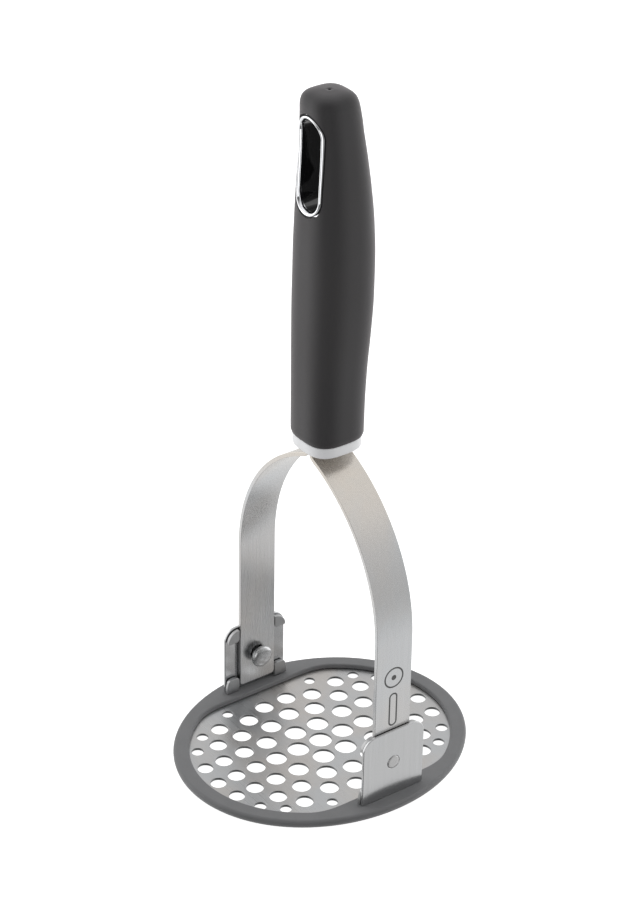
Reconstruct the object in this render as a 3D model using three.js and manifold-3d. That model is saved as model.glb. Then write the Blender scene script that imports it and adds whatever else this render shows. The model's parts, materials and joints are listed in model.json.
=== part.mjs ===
// Folding potato masher: a perforated oval head hinged on two spring-strip legs that rise into a
// soft-touch handle. Millimetres, +Z up. X runs through the two brackets, Y along the head's long
// axis, and the origin is the middle of the underside of the rim. "left" is -X, "front" is -Y.
import * as THREE from "three";
import { mergeVertices } from "three/addons/utils/BufferGeometryUtils.js";
import Module from "manifold-3d";

const wasm = await Module();
wasm.setup();

// ---------- driving dimensions ----------
const GAP = 0.3; // air left between two pieces that touch

// Head
const HEAD_HALF_X = 47.6;
const HEAD_HALF_Y = 55;
const RIM_HEIGHT = 4;
const RIM_TOP_RADIUS = 1.2;
const RIM_BOTTOM_RADIUS = RIM_HEIGHT - RIM_TOP_RADIUS;
const RIM_LIP = 0.3; // how far below the top the opening's edge starts to open out
const OPENING_HALF_X = 36.5; // where the opening is cut straight beside the brackets
const OPENING_OVAL_X = 42.2;
const OPENING_OVAL_Y = 49.05;
const SHEET_BOTTOM = 1.2;
const SHEET_THICK = 1;
const SHEET_HALF_X = 45;
const SHEET_HALF_Y = 52.4;
const HOLE_SEGMENTS = 12;
const HOLE_RINGS = [
  // radius of the ring, holes in a full turn, hole diameter
  { radius: 0, count: 1, diameter: 8.2 },
  { radius: 9.85, count: 6, diameter: 7.9 },
  { radius: 19.4, count: 12, diameter: 7.4 },
  { radius: 28.3, count: 18, diameter: 6.8 },
];
const OUTER_RING = { radius: 36.8, step: 15, reach: 60, diameter: 6.3, endDiameter: 4 };
const EDGE_HOLES = [
  // distance from the sheet's middle in X and in Y, hole diameter
  { across: 0, along: 44.5, diameter: 5.7 },
  { across: 9.7, along: 43.4, diameter: 5.7 },
  { across: 19.3, along: 40.2, diameter: 4.4 },
  { across: 25.6, along: 33.8, diameter: 4.2 },
];

// Legs
const STRIP_WIDTH = 15;
const STRIP_THICK = 1.5;
const STRIP_MID_X = 40.1;
const STRIP_BOTTOM = 6.3;
const STRIP_CORNER = 1.2;
const BEND_CENTRE_Z = 66.5;
const BEND_RADIUS = 60.1;
const TANG_MID_X = 0.95;
const TANG_TOP = 150;
const TANG_WIDTH = 12.8; // the strip narrows where the handle grips it
const TANG_SHOULDER = 131;
const TANG_BEND_RADIUS = 3;

// Brackets, guides and pins
const PIVOT_Z = 17.8;
const BRACKET_HALF_WIDTH = 13.1;
const BRACKET_TOP = 31;
const BRACKET_CORNER = 5;
const WALL_THICK = 1;
const WALL_INNER_X = STRIP_MID_X + STRIP_THICK / 2 + GAP;
const WALL_FOOT_Z = RIM_HEIGHT + GAP;
const NECK_HALF_WIDTH = 9;
const GUIDE_INNER_X = STRIP_MID_X - STRIP_THICK / 2;
const GUIDE_THICK = STRIP_THICK;
const CHANNEL_HALF = STRIP_WIDTH / 2 + 0.35;
const GUIDE_INSET = 0.5;
const PIN_RADIUS = 2.5;
const PIN_HEAD_RADIUS = 4.1;
const PIN_HEAD_HEIGHT = 2.2;
const SQUEEZE_TRAVEL = 2; // free space between a strip and its pin's head
const SQUEEZE_DROP = 0.75; // how far a strip's end sinks when it is squeezed in

// Handle
const COLLAR_BOTTOM = 125.6;
const COLLAR_HALF = 10.5;
const COLLAR_SHIFT = 0.25;
const GRIP_BOTTOM = 130;
const CORE_HALF = 8.6;
const CORE_TOP = 206;
const TANG_SLOT_HALF_X = 2.5;
const RIVET_RADIUS = 1.8;
const RIVET_LENGTH = 14.8;
const RIVET_HEIGHTS = { lower: 135, upper: 144 };
const HANG_CENTRE_Z = 230.25;
const HANG_STRAIGHT_HALF = 10.65;
const HANG_OUTER_RADIUS = 7.1;
const HANG_WALL = 1.9;
const HANG_BEZEL_DEPTH = 1.6;
const HANG_SINK = 0.15; // how far the slot's lining stops below the grip's surface
const SECTION_POWER = 3; // superellipse exponent of the grip's cross-section
const SECTION_SEGMENTS = 36;
const GRIP_SECTIONS = [
  // height, half of the section's side, offset of its centre along Y
  { z: 130, half: 10.75, shift: 0.3 },
  { z: 130.6, half: 11.05, shift: 0.3 },
  { z: 142, half: 11.15, shift: 0.35 },
  { z: 155, half: 11.4, shift: 0.6 },
  { z: 168, half: 11.85, shift: 1.1 },
  { z: 182, half: 12.15, shift: 1.55 },
  { z: 196, half: 12.1, shift: 1.7 },
  { z: 209, half: 11.7, shift: 1.55 },
  { z: 221, half: 10.95, shift: 1.1 },
  { z: 231, half: 10.1, shift: 0.6 },
  { z: 240, half: 9.35, shift: -0.05 },
  { z: 247, half: 8.85, shift: -0.7 },
  { z: 250.3, half: 8.55, shift: -1.1 },
  { z: 252.2, half: 8.05, shift: -1.25 },
  { z: 253.4, half: 7.25, shift: -1.3 },
  { z: 254.1, half: 6.1, shift: -1.3 },
  { z: 254.6, half: 4.3, shift: -1.3 },
  { z: 254.9, half: 1.5, shift: -1.3 },
];

// ---------- materials ----------
const material = (color, roughness, metalness) =>
  new THREE.MeshStandardMaterial({ color, roughness, metalness });
const softGrip = () => material(0x35363a, 0.62, 0);
const hardPlastic = () => material(0x222326, 0.5, 0);
const palePlastic = () => material(0xdfe0e4, 0.35, 0.1);
const chrome = () => material(0xe4e6ea, 0.08, 1);
const silicone = () => material(0x6b6c70, 0.6, 0);
const brushedSteel = () => material(0xb3b3b1, 0.35, 1);
const dullSteel = () => material(0xa9aaac, 0.45, 1);

// ---------- solids ----------
// A closed geometry as a solid with its faces pointing out.
function solid(geometry) {
  const bare = new THREE.BufferGeometry();
  bare.setAttribute("position", geometry.getAttribute("position"));
  if (geometry.index) bare.setIndex(geometry.index);
  const merged = mergeVertices(bare, 1e-4);
  const faces = [];
  for (let i = 0; i < merged.index.count; i += 3) {
    const face = [0, 1, 2].map((k) => merged.index.getX(i + k));
    if (new Set(face).size === 3) faces.push(face);
  }
  const build = (list) =>
    new wasm.Manifold(
      new wasm.Mesh({
        numProp: 3,
        vertProperties: new Float32Array(merged.attributes.position.array),
        triVerts: new Uint32Array(list.flat()),
      }),
    );
  const made = build(faces);
  return made.volume() < 0 ? build(faces.map(([a, b, c]) => [a, c, b])) : made;
}

function meshOf(name, body, look) {
  const made = body.getMesh();
  const geometry = new THREE.BufferGeometry();
  geometry.setAttribute("position", new THREE.BufferAttribute(made.vertProperties, 3));
  geometry.setIndex(new THREE.BufferAttribute(made.triVerts, 1));
  const mesh = new THREE.Mesh(geometry.toNonIndexed(), look);
  mesh.geometry.computeVertexNormals();
  mesh.name = name;
  return mesh;
}

const shapeOf = (points) => new THREE.Shape(points.map(([a, b]) => new THREE.Vector2(a, b)));
const extrude = (shape, depth) =>
  new THREE.ExtrudeGeometry(shape, { depth, bevelEnabled: false, steps: 1 });

// An outline in X and Z, given thickness along Y and centred on the XZ plane.
function acrossY(points, width) {
  const geometry = extrude(shapeOf(points), width);
  return solid(geometry.rotateX(Math.PI / 2).translate(0, width / 2, 0));
}

// An outline in Y and Z, given thickness along X from x0 to x1.
function acrossX(points, x0, x1) {
  const turn = new THREE.Matrix4().set(0, 0, 1, 0, 1, 0, 0, 0, 0, 1, 0, 0, 0, 0, 0, 1);
  const geometry = extrude(shapeOf(points), x1 - x0).applyMatrix4(turn);
  return solid(geometry.translate(x0, 0, 0));
}

function box(x0, x1, y0, y1, z0, z1) {
  const geometry = new THREE.BoxGeometry(x1 - x0, y1 - y0, z1 - z0);
  return solid(geometry.translate((x0 + x1) / 2, (y0 + y1) / 2, (z0 + z1) / 2));
}

// A stack of equal-length rings, counter-clockwise seen from above, closed at both ends.
function loft(rings) {
  const n = rings[0].length;
  const positions = rings.flat(2);
  const index = [];
  for (let i = 0; i + 1 < rings.length; i++) {
    for (let j = 0; j < n; j++) {
      const k = (j + 1) % n;
      const [a, b, c, d] = [i * n + j, i * n + k, (i + 1) * n + k, (i + 1) * n + j];
      index.push(a, b, c, a, c, d);
    }
  }
  const last = (rings.length - 1) * n;
  for (let j = 1; j + 1 < n; j++) {
    index.push(0, j + 1, j);
    index.push(last, last + j, last + j + 1);
  }
  const geometry = new THREE.BufferGeometry();
  geometry.setAttribute("position", new THREE.Float32BufferAttribute(positions, 3));
  geometry.setIndex(index);
  return solid(geometry);
}

// Points of an arc about (ca, cb), both ends included, angles in degrees.
function arc(ca, cb, radius, from, to, steps) {
  return Array.from({ length: steps + 1 }, (_, i) => {
    const angle = THREE.MathUtils.degToRad(from + ((to - from) * i) / steps);
    return [ca + radius * Math.cos(angle), cb + radius * Math.sin(angle)];
  });
}

function ovalRing(halfX, halfY, z, segments) {
  return Array.from({ length: segments }, (_, i) => {
    const angle = (2 * Math.PI * i) / segments;
    return [halfX * Math.cos(angle), halfY * Math.sin(angle), z];
  });
}

// One cross-section of the handle: a soft square.
function squareRing(half, shift, z, power = SECTION_POWER) {
  const soft = (v) => Math.sign(v) * Math.abs(v) ** (2 / power);
  return Array.from({ length: SECTION_SEGMENTS }, (_, i) => {
    const angle = (2 * Math.PI * i) / SECTION_SEGMENTS;
    return [half * soft(Math.cos(angle)), shift + half * soft(Math.sin(angle)), z];
  });
}

const bar = (half, z0, z1, power) =>
  loft([squareRing(half, 0, z0, power), squareRing(half, 0, z1, power)]);

function rodAlongX(radius, x0, x1, z, segments = 24) {
  const geometry = new THREE.CylinderGeometry(radius, radius, x1 - x0, segments);
  return solid(geometry.rotateZ(Math.PI / 2).translate((x0 + x1) / 2, 0, z));
}

// A body built on the right side, as it is or as its mirror image on the left.
const onSide = (side, body) => (side === "left" ? body.mirror([1, 0, 0]) : body);

// ---------- head ----------
// The opening's outline: an oval whose two sides are flattened beside the brackets.
function openingRing(grow, z, segments = 72) {
  const soften = 3;
  const flat = OPENING_HALF_X + grow;
  return ovalRing(OPENING_OVAL_X + grow, OPENING_OVAL_Y + grow, z, segments).map(([x, y]) => {
    const blend = Math.max(soften - Math.abs(Math.abs(x) - flat), 0) / soften;
    const limited = Math.min(Math.abs(x), flat) - (blend * blend * soften) / 4;
    return [Math.sign(x) * limited, y, z];
  });
}

function siliconeRim() {
  const levels = [-90, -60, -30, 0, 45, 90].map((degrees) => {
    const angle = THREE.MathUtils.degToRad(degrees);
    const radius = degrees < 0 ? RIM_BOTTOM_RADIUS : RIM_TOP_RADIUS;
    const inset = radius * (1 - Math.cos(angle));
    const z = RIM_BOTTOM_RADIUS + radius * Math.sin(angle);
    return ovalRing(HEAD_HALF_X - inset, HEAD_HALF_Y - inset, z, 72);
  });
  const sheetTop = SHEET_BOTTOM + SHEET_THICK;
  const above = loft([
    openingRing(0, SHEET_BOTTOM),
    openingRing(0.15, RIM_HEIGHT - RIM_LIP),
    openingRing(0.15 + 2 * RIM_LIP, RIM_HEIGHT + RIM_LIP),
  ]);
  const below = loft([openingRing(0.7, -0.4), openingRing(0, 0.5), openingRing(0, SHEET_BOTTOM)]);
  const groove = loft([
    ovalRing(SHEET_HALF_X + GAP, SHEET_HALF_Y + GAP, SHEET_BOTTOM - GAP, 72),
    ovalRing(SHEET_HALF_X + GAP, SHEET_HALF_Y + GAP, sheetTop + GAP, 72),
  ]);
  let rim = loft(levels).subtract(above).subtract(below).subtract(groove);
  for (const side of ["left", "right"]) {
    const slot = box(
      WALL_INNER_X - GAP,
      WALL_INNER_X + WALL_THICK + GAP,
      -NECK_HALF_WIDTH - GAP,
      NECK_HALF_WIDTH + GAP,
      sheetTop,
      RIM_HEIGHT + 1,
    );
    rim = rim.subtract(onSide(side, slot));
  }
  return rim;
}

// Centre and diameter of every hole in the sheet.
function holeList() {
  const holes = [];
  const add = (radiusX, radiusY, degrees, diameter) => {
    const angle = THREE.MathUtils.degToRad(degrees);
    holes.push({ x: radiusX * Math.sin(angle), y: radiusY * Math.cos(angle), diameter });
  };
  for (const { radius, count, diameter } of HOLE_RINGS) {
    for (let i = 0; i < count; i++) add(radius, radius, (360 * i) / count, diameter);
  }
  for (const end of [0, 180]) {
    const { radius, step, reach, diameter, endDiameter } = OUTER_RING;
    for (let angle = -reach; angle <= reach; angle += step) {
      const small = Math.abs(angle) === reach;
      add(radius, radius, end + angle, small ? endDiameter : diameter);
    }
    const towards = end === 0 ? 1 : -1;
    for (const { across, along, diameter: d } of EDGE_HOLES) {
      holes.push({ x: across, y: towards * along, diameter: d });
      if (across > 0) holes.push({ x: -across, y: towards * along, diameter: d });
    }
  }
  return holes;
}

function mashingPlate() {
  const edge = ovalRing(SHEET_HALF_X, SHEET_HALF_Y, 0, 72);
  const shape = shapeOf(edge);
  for (const { x, y, diameter } of holeList()) {
    const ring = arc(x, y, diameter / 2, 0, 360, HOLE_SEGMENTS).slice(0, HOLE_SEGMENTS);
    shape.holes.push(new THREE.Path(ring.map(([a, b]) => new THREE.Vector2(a, b))));
  }
  return solid(extrude(shape, SHEET_THICK).translate(0, 0, SHEET_BOTTOM));
}

// ---------- brackets, guides and pins, built on the right ----------
// Front view of a bracket: round upper corners, and a narrower neck that enters the rim.
function bracketOutline() {
  const neckEnd = SHEET_BOTTOM + SHEET_THICK + GAP;
  const y = BRACKET_HALF_WIDTH;
  const r = BRACKET_CORNER;
  return [
    [-y, WALL_FOOT_Z],
    [-NECK_HALF_WIDTH, WALL_FOOT_Z],
    [-NECK_HALF_WIDTH, neckEnd],
    [NECK_HALF_WIDTH, neckEnd],
    [NECK_HALF_WIDTH, WALL_FOOT_Z],
    [y, WALL_FOOT_Z],
    ...arc(y - r, BRACKET_TOP - r, r, 0, 90, 6),
    ...arc(-y + r, BRACKET_TOP - r, r, 90, 180, 6),
  ];
}

// The wall stands up outside the strip, and its neck drops through the rim to the sheet.
function bracketPlate() {
  const outerX = WALL_INNER_X + WALL_THICK;
  const wall = acrossX(bracketOutline(), WALL_INNER_X, outerX);
  return wall.subtract(rodAlongX(PIN_RADIUS + GAP, WALL_INNER_X - 1, outerX + 1, PIVOT_Z));
}

// Upper guide: closes the side of the upright channel above the crosswise one.
function guideCap(end) {
  const low = PIVOT_Z + CHANNEL_HALF;
  const high = BRACKET_TOP - GUIDE_INSET;
  const far = BRACKET_HALF_WIDTH - GUIDE_INSET;
  const r = BRACKET_CORNER - GUIDE_INSET;
  const outline = [
    [CHANNEL_HALF + 0.9, low],
    [far, low],
    ...arc(far - r, high - r, r, 0, 90, 6),
    [CHANNEL_HALF, high],
    [CHANNEL_HALF, low + 0.9],
  ];
  const pad = acrossX(outline, GUIDE_INNER_X, GUIDE_INNER_X + GUIDE_THICK);
  return end === "front" ? pad.mirror([0, 1, 0]) : pad;
}

// Lower guide: the same below the crosswise channel, flaring out a little towards its foot.
function guideFoot(end) {
  const low = WALL_FOOT_Z;
  const high = PIVOT_Z - CHANNEL_HALF;
  const outline = [
    [CHANNEL_HALF, low],
    [BRACKET_HALF_WIDTH + 0.2, low],
    [BRACKET_HALF_WIDTH + 0.1, low + 2],
    [BRACKET_HALF_WIDTH - 0.5, high - 0.8],
    [BRACKET_HALF_WIDTH - 1.3, high],
    [CHANNEL_HALF + 0.9, high],
    [CHANNEL_HALF, high - 0.9],
  ];
  const pad = acrossX(outline, GUIDE_INNER_X, GUIDE_INNER_X + GUIDE_THICK);
  return end === "front" ? pad.mirror([0, 1, 0]) : pad;
}

// A riveted pin: flush with the outside of the bracket, with a low domed head inside the strip.
function pivotPin() {
  const under = GUIDE_INNER_X - SQUEEZE_TRAVEL;
  const face = under - PIN_HEAD_HEIGHT;
  const r = PIN_HEAD_RADIUS;
  const tip = WALL_INNER_X + WALL_THICK - 0.1;
  const profile = [
    [0, face],
    [r * 0.45, face + 0.12],
    [r * 0.78, face + 0.5],
    [r * 0.96, face + 1.05],
    [r, face + 1.5],
    [r, under - 0.25],
    [r - 0.25, under],
    [PIN_RADIUS, under],
    [PIN_RADIUS, tip],
    [0, tip],
  ];
  const points = profile.map(([radius, along]) => new THREE.Vector2(radius, along));
  const turned = new THREE.LatheGeometry(points, 24).rotateZ(-Math.PI / 2);
  return solid(turned.translate(0, 0, PIVOT_Z));
}

// ---------- legs, built on the right ----------
// The strip's middle line in X and Z, as circle arcs joined by straight runs.
function legArcs() {
  const reach = BEND_RADIUS + TANG_BEND_RADIUS;
  const bendX = STRIP_MID_X - BEND_RADIUS;
  const turnX = TANG_MID_X + TANG_BEND_RADIUS;
  const turnZ = BEND_CENTRE_Z + Math.sqrt(reach ** 2 - (turnX - bendX) ** 2);
  const meet = THREE.MathUtils.radToDeg(Math.atan2(turnZ - BEND_CENTRE_Z, turnX - bendX));
  return { bendX, turnX, turnZ, meet };
}

// One face of the strip, offset sideways from the middle line; positive is the outer, upper face.
function legFace(offset) {
  const { bendX, turnX, turnZ, meet } = legArcs();
  return [
    [TANG_MID_X + offset, TANG_TOP],
    ...arc(turnX, turnZ, TANG_BEND_RADIUS - offset, 180, 180 + meet, 8),
    ...arc(bendX, BEND_CENTRE_Z, BEND_RADIUS + offset, meet, 0, 28).slice(1),
    [STRIP_MID_X + offset, STRIP_BOTTOM],
  ];
}

// Front view of a leg: straight sides, rounded bottom corners and a narrower tang.
function legOutline() {
  const y = STRIP_WIDTH / 2;
  const r = STRIP_CORNER;
  const tang = TANG_WIDTH / 2;
  return [
    ...arc(-y + r, STRIP_BOTTOM + r, r, 180, 270, 4),
    ...arc(y - r, STRIP_BOTTOM + r, r, 270, 360, 4),
    [y, TANG_SHOULDER],
    [tang, TANG_SHOULDER + 1],
    [tang, TANG_TOP + 1],
    [-tang, TANG_TOP + 1],
    [-tang, TANG_SHOULDER + 1],
    [-y, TANG_SHOULDER],
  ];
}

function leg() {
  const strip = acrossY(
    [...legFace(STRIP_THICK / 2), ...legFace(-STRIP_THICK / 2).reverse()],
    STRIP_WIDTH,
  );
  const r = PIN_RADIUS + GAP;
  const slot = [
    ...arc(0, PIVOT_Z, r, 180, 360, 12),
    ...arc(0, PIVOT_Z + SQUEEZE_DROP, r, 0, 180, 12),
  ];
  const outline = acrossX(legOutline(), -10, STRIP_MID_X + 10);
  const pinSlot = acrossX(slot, STRIP_MID_X - 2, STRIP_MID_X + 2);
  let made = strip.intersect(outline).subtract(pinSlot);
  for (const z of Object.values(RIVET_HEIGHTS)) {
    made = made.subtract(rodAlongX(RIVET_RADIUS + GAP, -3, 5, z, 20));
  }
  return made;
}

// ---------- handle ----------
const gripBody = (inset) =>
  loft(GRIP_SECTIONS.map(({ z, half, shift }) => squareRing(Math.max(half - inset, 0.1), shift, z)));

// A slot with round ends, standing upright and running through the handle along Y.
function hangSlot(radius) {
  const outline = [
    ...arc(0, HANG_CENTRE_Z + HANG_STRAIGHT_HALF, radius, 0, 180, 14),
    ...arc(0, HANG_CENTRE_Z - HANG_STRAIGHT_HALF, radius, 180, 360, 14),
  ];
  return acrossY(outline, 60);
}

function gripShell() {
  const cavity = bar(CORE_HALF + GAP, GRIP_BOTTOM - 1, CORE_TOP + GAP, 4);
  return gripBody(0).subtract(cavity).subtract(hangSlot(HANG_OUTER_RADIUS + GAP));
}

const hangTube = () => hangSlot(HANG_OUTER_RADIUS).subtract(hangSlot(HANG_OUTER_RADIUS - HANG_WALL));

// Tube through the handle, between the two bezels.
const hangSlotLiner = () => hangTube().intersect(gripBody(HANG_SINK + HANG_BEZEL_DEPTH + GAP));

// Ring at one mouth of the hanging slot, following the grip's surface.
function hangBezel(end) {
  const skin = gripBody(HANG_SINK).subtract(gripBody(HANG_SINK + HANG_BEZEL_DEPTH));
  const half = end === "front" ? box(-9, 9, -20, 0, 200, 250) : box(-9, 9, 0, 20, 200, 250);
  return hangTube().intersect(skin).intersect(half);
}

function tangSlot(halfX, width, z0, z1) {
  const halfY = width / 2 + GAP;
  return box(-halfX, halfX, -halfY, halfY, z0, z1);
}

function handleCore() {
  let core = bar(CORE_HALF, GRIP_BOTTOM + GAP, CORE_TOP, 4);
  core = core.subtract(tangSlot(TANG_SLOT_HALF_X, TANG_WIDTH, GRIP_BOTTOM, TANG_TOP + 0.5));
  core = core.subtract(tangSlot(TANG_SLOT_HALF_X, STRIP_WIDTH, GRIP_BOTTOM, TANG_SHOULDER + 1.3));
  for (const z of Object.values(RIVET_HEIGHTS)) {
    core = core.subtract(rodAlongX(RIVET_RADIUS + GAP, -9, 9, z, 20));
  }
  return core;
}

function collar() {
  const levels = [
    [COLLAR_BOTTOM, COLLAR_HALF - 0.7],
    [COLLAR_BOTTOM + 0.3, COLLAR_HALF - 0.3],
    [COLLAR_BOTTOM + 0.9, COLLAR_HALF],
    [GRIP_BOTTOM - GAP, COLLAR_HALF],
  ];
  const ring = loft(levels.map(([z, half]) => squareRing(half, COLLAR_SHIFT, z)));
  return ring.subtract(
    tangSlot(TANG_SLOT_HALF_X - 0.4, STRIP_WIDTH, COLLAR_BOTTOM - 1, GRIP_BOTTOM),
  );
}

const tangRivet = (z) => rodAlongX(RIVET_RADIUS, -RIVET_LENGTH / 2, RIVET_LENGTH / 2, z, 20);

// ---------- assembly ----------
const masher = new THREE.Group();
masher.name = "folding_potato_masher";
masher.add(meshOf("mashing_plate", mashingPlate(), brushedSteel()));
masher.add(meshOf("silicone_rim", siliconeRim(), silicone()));
for (const side of ["left", "right"]) {
  masher.add(meshOf(`${side}_bracket_plate`, onSide(side, bracketPlate()), dullSteel()));
  for (const end of ["front", "back"]) {
    masher.add(meshOf(`${side}_guide_cap_${end}`, onSide(side, guideCap(end)), dullSteel()));
    masher.add(meshOf(`${side}_guide_foot_${end}`, onSide(side, guideFoot(end)), dullSteel()));
  }
  masher.add(meshOf(`${side}_pivot_pin`, onSide(side, pivotPin()), brushedSteel()));
  masher.add(meshOf(`${side}_leg`, onSide(side, leg()), brushedSteel()));
}
masher.add(meshOf("collar", collar(), palePlastic()));
masher.add(meshOf("handle_core", handleCore(), hardPlastic()));
for (const [level, z] of Object.entries(RIVET_HEIGHTS)) {
  masher.add(meshOf(`tang_rivet_${level}`, tangRivet(z), brushedSteel()));
}
masher.add(meshOf("grip_shell", gripShell(), softGrip()));
masher.add(meshOf("hang_slot_liner", hangSlotLiner(), hardPlastic()));
for (const end of ["front", "back"]) {
  masher.add(meshOf(`hang_bezel_${end}`, hangBezel(end), chrome()));
}

export default masher;
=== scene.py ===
"""Folding potato masher: the looks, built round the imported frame. Metres, +Z up, +X through the brackets."""

import json
import math

import bmesh
import bpy
from mathutils import Matrix, Vector


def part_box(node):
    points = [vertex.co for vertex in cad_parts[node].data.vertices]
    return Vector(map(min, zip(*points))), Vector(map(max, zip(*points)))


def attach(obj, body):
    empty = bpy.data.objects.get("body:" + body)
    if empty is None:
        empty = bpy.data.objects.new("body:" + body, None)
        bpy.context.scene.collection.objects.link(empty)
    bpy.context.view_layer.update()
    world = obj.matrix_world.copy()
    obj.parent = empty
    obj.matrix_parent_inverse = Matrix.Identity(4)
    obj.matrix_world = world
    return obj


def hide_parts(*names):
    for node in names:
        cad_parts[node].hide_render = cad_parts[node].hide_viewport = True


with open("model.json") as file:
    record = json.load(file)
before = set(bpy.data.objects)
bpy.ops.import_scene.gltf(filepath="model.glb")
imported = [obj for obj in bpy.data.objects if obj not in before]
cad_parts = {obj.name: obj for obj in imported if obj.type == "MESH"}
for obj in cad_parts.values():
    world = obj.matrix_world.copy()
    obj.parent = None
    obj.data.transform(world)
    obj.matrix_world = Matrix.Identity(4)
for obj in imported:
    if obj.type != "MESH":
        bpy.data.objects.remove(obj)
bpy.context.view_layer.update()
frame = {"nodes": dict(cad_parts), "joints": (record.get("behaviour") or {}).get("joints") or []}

MM = 0.001
JOINTS = {joint["name"]: joint for joint in frame["joints"]}
SIDES = ("left", "right")
ENDS = {"front": -1, "back": 1}

# ---------- sizes read from the frame ----------
PIVOT_Z = JOINTS["fold"]["pos_m"][2]
_, RIM_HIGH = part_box("silicone_rim")
SHEET_LOW, SHEET_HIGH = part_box("mashing_plate")
LEG_LOW, LEG_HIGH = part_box("right_leg")
BRACKET_LOW, BRACKET_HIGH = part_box("right_bracket_plate")
CAP_LOW, CAP_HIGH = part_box("right_guide_cap_back")
FOOT_LOW, FOOT_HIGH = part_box("right_guide_foot_back")
PIN_LOW, PIN_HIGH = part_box("right_pivot_pin")
GRIP_LOW, GRIP_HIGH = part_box("grip_shell")
_, CORE_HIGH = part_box("handle_core")
LINER_LOW, LINER_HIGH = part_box("hang_slot_liner")
COLLAR_LOW, COLLAR_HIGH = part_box("collar")

# ---------- driving dimensions the boxes don't give ----------
GAP = 0.3 * MM
STRIP_THICK = CAP_HIGH.x - CAP_LOW.x
STRIP_MID_X = (CAP_HIGH.x + CAP_LOW.x) / 2
STRIP_EDGE = 0.12 * MM
SHEET_EDGE = 0.1 * MM
STRIP_CORNER = 1.2 * MM
BEND_CENTRE_Z = 66.5 * MM
BEND_RADIUS = 60.1 * MM
TANG_MID_X = 0.95 * MM
TANG_BEND_RADIUS = 3 * MM
TANG_WIDTH = 12.8 * MM
TANG_SHOULDER = 131 * MM
WALL_THICK = 1 * MM
BRACKET_CORNER = 5 * MM
BRACKET_FILLET = 0.6 * MM
BRACKET_EDGE = 0.22 * MM
BRACKET_ABOVE_RIM = 0.05 * MM
NECK_HALF_WIDTH = 9 * MM
GUIDE_CORNER = 4.5 * MM
GUIDE_CHAMFER = 0.9 * MM
GUIDE_EDGE = 0.3 * MM
PIN_RADIUS = 2.5 * MM
PIN_HEAD_HEIGHT = 2.2 * MM
PIN_DOME = 1.15 * MM
PIN_PROUD = 0.18 * MM
PIN_HOLE_GAP = 0.03 * MM
SQUEEZE_DROP = 0.75 * MM
RIM_TOP_RADIUS = 1.2 * MM
RIM_BOTTOM_RADIUS = 2.8 * MM
RIM_GROOVE_GAP = 0.2 * MM
RIM_SLOT_GAP = 0.06 * MM
OPENING_HALF_X = 36.5 * MM
OPENING_OVAL_X = 42.2 * MM
OPENING_OVAL_Y = 49.05 * MM
OPENING_SOFTEN = 3 * MM
HANG_WALL = 1.9 * MM
HANG_BEZEL_DEPTH = 1.6 * MM
HANG_MOUTH_GAP = 0.12 * MM
ETCH_FILM = 0.02 * MM
ETCH_RING_Z = 52.5 * MM
ETCH_PILL_Z = 39.3 * MM
ETCH_PILL_HALF = 5 * MM
COLLAR_ROUNDING = 0.7 * MM
GRIP_CROWN = 5 * MM
GRIP_POWER = 3
GRIP_SECTIONS = [
    # height, half of the section's side, offset of its centre along Y, all in millimetres
    (130, 10.75, 0.3),
    (130.6, 11.05, 0.3),
    (142, 11.15, 0.35),
    (155, 11.4, 0.6),
    (168, 11.85, 1.1),
    (182, 12.15, 1.55),
    (196, 12.1, 1.7),
    (209, 11.7, 1.55),
    (221, 10.95, 1.1),
    (231, 10.1, 0.6),
    (240, 9.35, -0.05),
    (247, 8.85, -0.7),
    (250.3, 8.55, -1.1),
    (252.2, 8.05, -1.25),
    (253.4, 7.25, -1.3),
    (254.1, 6.1, -1.3),
    (254.6, 4.3, -1.3),
    (254.9, 1.5, -1.3),
]
TOP_DIMPLE = [
    # half-width and depth below the top, in millimetres
    (0.75, 0),
    (0.5, 0.12),
    (0.32, 0.5),
    (0.05, 0.6),
]
RIM_LIP = [
    # distance out from the opening and depth below the rim's top, in millimetres
    (0.75, 0.02),
    (0.42, 0.1),
    (0.2, 0.3),
    (0.1, 0.6),
]
BEZEL_PROFILE = [
    # distance out from the slot's inner wall and height above the grip's face, in millimetres
    (1.9, -1.45),
    (1.38, -1.45),
    (1.34, -0.45),
    (1.26, -0.12),
    (1.1, 0.1),
    (0.9, 0.18),
    (0.7, 0.13),
    (0.5, -0.03),
    (0.32, -0.28),
    (0.17, -0.62),
    (0.06, -1.0),
    (0, -1.4),
]
# rings are (radius, holes, diameter) and edge holes (distance in X, distance in Y, diameter), in millimetres
HOLE_RINGS = [(0, 1, 8.2), (9.85, 6, 7.9), (19.4, 12, 7.4), (28.3, 18, 6.8)]
OUTER_RING = {"radius": 36.8, "step": 15, "reach": 60, "diameter": 6.3, "end_diameter": 4}
EDGE_HOLES = [(0, 44.5, 5.7), (9.7, 43.4, 5.7), (19.3, 40.2, 4.4), (25.6, 33.8, 4.2)]


# ---------- mesh tools ----------
def new_object(name, data):
    """An object for a mesh, curve, lamp or camera, in the scene."""
    made = bpy.data.objects.new(name, data)
    bpy.context.scene.collection.objects.link(made)
    return made


def smooth(piece, angle=34):
    """Smooth shading, with edges sharper than the angle in degrees kept crisp."""
    for polygon in piece.data.polygons:
        polygon.use_smooth = True
    piece.data.set_sharp_from_angle(angle=math.radians(angle))
    return piece


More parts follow.
